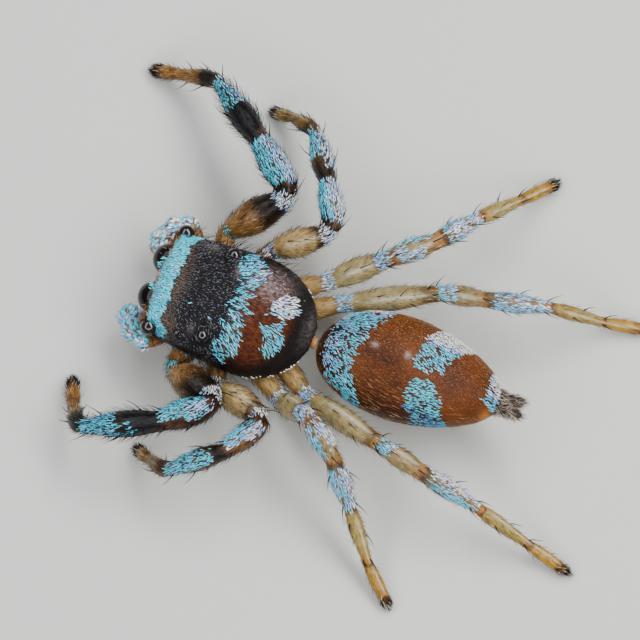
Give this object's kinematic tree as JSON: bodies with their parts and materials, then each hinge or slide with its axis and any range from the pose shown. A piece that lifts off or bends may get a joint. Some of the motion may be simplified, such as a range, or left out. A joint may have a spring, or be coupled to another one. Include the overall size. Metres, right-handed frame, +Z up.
{
  "type": "jumping spider",
  "caption": "Life-size still model of a Thiania bhamoensis jumping spider with turquoise scale bands, standing on its feet.",
  "frame": {"origin": "on the floor, under the middle of the model's bounding box", "axes": "+Y from head to tail, +Z up, +X to the spider's left"},
  "size_m": [0.009, 0.011, 0.0021],
  "materials": {
    "abdomen": "chestnut skin with golden hairs and turquoise scale bands",
    "carapace": "dark horny shield with turquoise scale bands",
    "eye": "glossy black dome",
    "underside": "tan horny plate",
    "chelicera": "dark brown horn",
    "fang": "dark red-brown horn",
    "palp": "tan skin under large pale blue scales",
    "spinneret": "dark haired skin",
    "coxa": "orange-tan skin",
    "foreleg": "black-brown skin with turquoise scale caps",
    "hind_leg": "yellow-tan half clear skin with pale blue scales",
    "foot": "orange-yellow skin, dark at the claws"
  },
  "bodies": {
    "root": {"abdomen": "abdomen", "carapace": "carapace", "chelicera_left": "chelicera", "chelicera_right": "chelicera", "eye_front_lateral_left": "eye", "eye_front_lateral_right": "eye", "eye_front_median_left": "eye", "eye_front_median_right": "eye", "eye_rear_lateral_left": "eye", "eye_rear_lateral_right": "eye", "eye_rear_median_left": "eye", "eye_rear_median_right": "eye", "fang_left": "fang", "fang_right": "fang", "labium": "underside", "leg_left_1_coxa": "coxa", "leg_left_1_femur": "foreleg", "leg_left_1_foot": "foot", "leg_left_1_tibia": "foreleg", "leg_left_2_coxa": "coxa", "leg_left_2_femur": "foreleg", "leg_left_2_foot": "foot", "leg_left_2_tibia": "foreleg", "leg_left_3_coxa": "coxa", "leg_left_3_femur": "hind_leg", "leg_left_3_foot": "foot", "leg_left_3_tibia": "hind_leg", "leg_left_4_coxa": "coxa", "leg_left_4_femur": "hind_leg", "leg_left_4_foot": "foot", "leg_left_4_tibia": "hind_leg", "leg_right_1_coxa": "coxa", "leg_right_1_femur": "foreleg", "leg_right_1_foot": "foot", "leg_right_1_tibia": "foreleg", "leg_right_2_coxa": "coxa", "leg_right_2_femur": "foreleg", "leg_right_2_foot": "foot", "leg_right_2_tibia": "foreleg", "leg_right_3_coxa": "coxa", "leg_right_3_femur": "hind_leg", "leg_right_3_foot": "foot", "leg_right_3_tibia": "hind_leg", "leg_right_4_coxa": "coxa", "leg_right_4_femur": "hind_leg", "leg_right_4_foot": "foot", "leg_right_4_tibia": "hind_leg", "maxilla_left": "underside", "maxilla_right": "underside", "palp_left_femur": "coxa", "palp_left_tarsus": "palp", "palp_left_tibia": "palp", "palp_right_femur": "coxa", "palp_right_tarsus": "palp", "palp_right_tibia": "palp", "pedicel": "coxa", "spinnerets": "spinneret", "sternum": "underside"}
  },
  "joints": []
}
